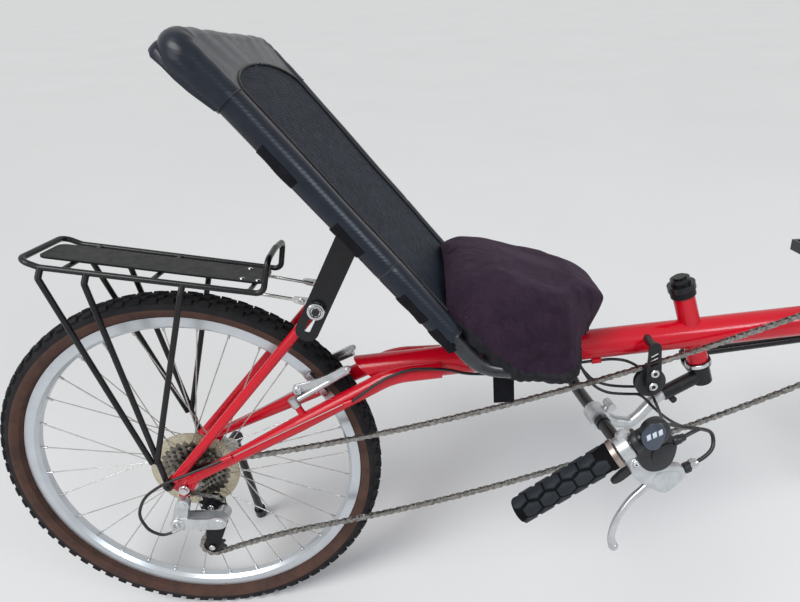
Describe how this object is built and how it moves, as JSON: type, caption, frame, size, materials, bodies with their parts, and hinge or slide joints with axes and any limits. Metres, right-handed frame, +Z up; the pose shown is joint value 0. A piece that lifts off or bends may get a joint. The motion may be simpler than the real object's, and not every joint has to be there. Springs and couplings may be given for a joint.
{
  "type": "recumbent bicycle",
  "caption": "Long-wheelbase recumbent bicycle with under-seat steering, sling seat, rear rack and side stand.",
  "frame": {"origin": "centre of the object's base, where its bounding box meets the floor", "axes": "+X forward, +Y to the rider's left, +Z up; the bicycle leans to the left onto its side stand"},
  "size_m": [2.2172, 0.6768, 1.0088],
  "materials": {
    "frame_red": "gloss",
    "chrome": "polished",
    "steel": "satin",
    "rim_alloy": "satin",
    "tyre_rubber": "matte",
    "black_paint": "gloss",
    "tube_alloy": "satin",
    "alloy": "polished",
    "black_plastic": "matte",
    "grip_rubber": "matte",
    "protector": "gloss",
    "seat_cloth": "matte",
    "cushion_cloth": "matte"
  },
  "bodies": {
    "frame": {"main_tube": "frame_red", "headset_cups": "chrome", "bracket_cups": "steel", "chainstay_right": "frame_red", "chainstay_left": "frame_red", "seat_stay_right": "frame_red", "seat_stay_left": "frame_red", "rear_axle": "chrome", "seat_frame": "tube_alloy", "seat_back": "seat_cloth", "seat_cushion": "cushion_cloth", "seat_strut_right": "black_paint", "seat_strut_left": "black_paint", "seat_brace": "black_paint", "seat_bolts": "chrome", "seat_strap": "seat_cloth", "rack_frame": "black_paint", "rack_deck": "black_paint", "rack_stays": "steel", "rear_brake_right": "alloy", "rear_brake_left": "alloy", "derailleur_body": "alloy", "derailleur_cage": "black_paint", "derailleur_pulleys": "black_plastic", "chain": "steel", "idler_bracket": "black_paint", "idler_pulley": "black_plastic", "stand_bracket": "steel", "gear_housing_rear": "black_plastic", "gear_wire": "steel", "gear_housing_front": "black_plastic", "under_seat_cables": "black_plastic"},
    "rear_wheel": {"rear_tyre": "tyre_rubber", "rear_rim": "rim_alloy", "rear_hub": "steel", "cassette": "steel", "spoke_protector": "protector"},
    "steering": {"steering_shaft": "black_paint", "stem_extension": "chrome", "handlebar": "black_paint", "grip_right": "grip_rubber", "grip_left": "grip_rubber", "brake_lever_right": "alloy", "brake_lever_left": "alloy", "shifter_right": "black_plastic", "shifter_left": "black_plastic", "bar_cables": "black_plastic"},
    "tie_rod": {"tie_rod": "black_paint"},
    "fork": {"fork": "black_paint", "front_axle": "chrome", "front_brake_right": "alloy", "front_brake_left": "alloy"},
    "front_wheel": {"front_tyre": "tyre_rubber", "front_rim": "rim_alloy", "front_hub": "steel"},
    "crank": {"crankset": "alloy"},
    "pedal_right": {"pedal_right": "black_plastic"},
    "pedal_left": {"pedal_left": "black_plastic"},
    "side_stand": {"side_stand": "steel"}
  },
  "joints": [
    {"name": "rear_wheel_spin", "type": "hinge", "parent": "frame", "child": "rear_wheel", "pos_m": [-0.7866, 0.00223, 0.31987], "axis": [0, 0.9925, -0.1219], "continuous": true},
    {"name": "steering_turn", "type": "hinge", "parent": "frame", "child": "steering", "pos_m": [0.0864, 0.02597, 0.5132], "axis": [-0.3007, 0.1162, 0.9466], "range_deg": [-37, 23]},
    {"name": "fork_turn", "type": "hinge", "parent": "frame", "child": "fork", "pos_m": [0.82049, -0.00856, 0.232], "axis": [-0.3007, 0.1162, 0.9466], "range_deg": [-37, 23]},
    {"name": "tie_rod_turn", "type": "hinge", "parent": "steering", "child": "tie_rod", "pos_m": [0.10067, 0.06537, 0.44317], "axis": [-0.3007, 0.1162, 0.9466], "range_deg": [-23, 37]},
    {"name": "front_wheel_spin", "type": "hinge", "parent": "fork", "child": "front_wheel", "pos_m": [0.86308, -0.00148, 0.24466], "axis": [-0.1162, 0.9807, -0.1573], "continuous": true},
    {"name": "crank_spin", "type": "hinge", "parent": "frame", "child": "crank", "pos_m": [0.5534, 0.03721, 0.60473], "axis": [0, 0.9925, -0.1219], "continuous": true},
    {"name": "pedal_right_spin", "type": "hinge", "parent": "crank", "child": "pedal_right", "pos_m": [0.7234, -0.0948, 0.62094], "axis": [0, 0.9925, -0.1219], "continuous": true},
    {"name": "pedal_left_spin", "type": "hinge", "parent": "crank", "child": "pedal_left", "pos_m": [0.3834, 0.16922, 0.58852], "axis": [0, 0.9925, -0.1219], "continuous": true},
    {"name": "side_stand_fold", "type": "hinge", "parent": "frame", "child": "side_stand", "pos_m": [-0.7566, 0.09508, 0.28832], "axis": [-0.1471, -0.9872, 0.0617], "range_deg": [0, 85]}
  ],
  "couplings": [
    {"joint": "fork_turn", "follows": "steering_turn", "ratio": 1},
    {"joint": "tie_rod_turn", "follows": "steering_turn", "ratio": -1}
  ]
}
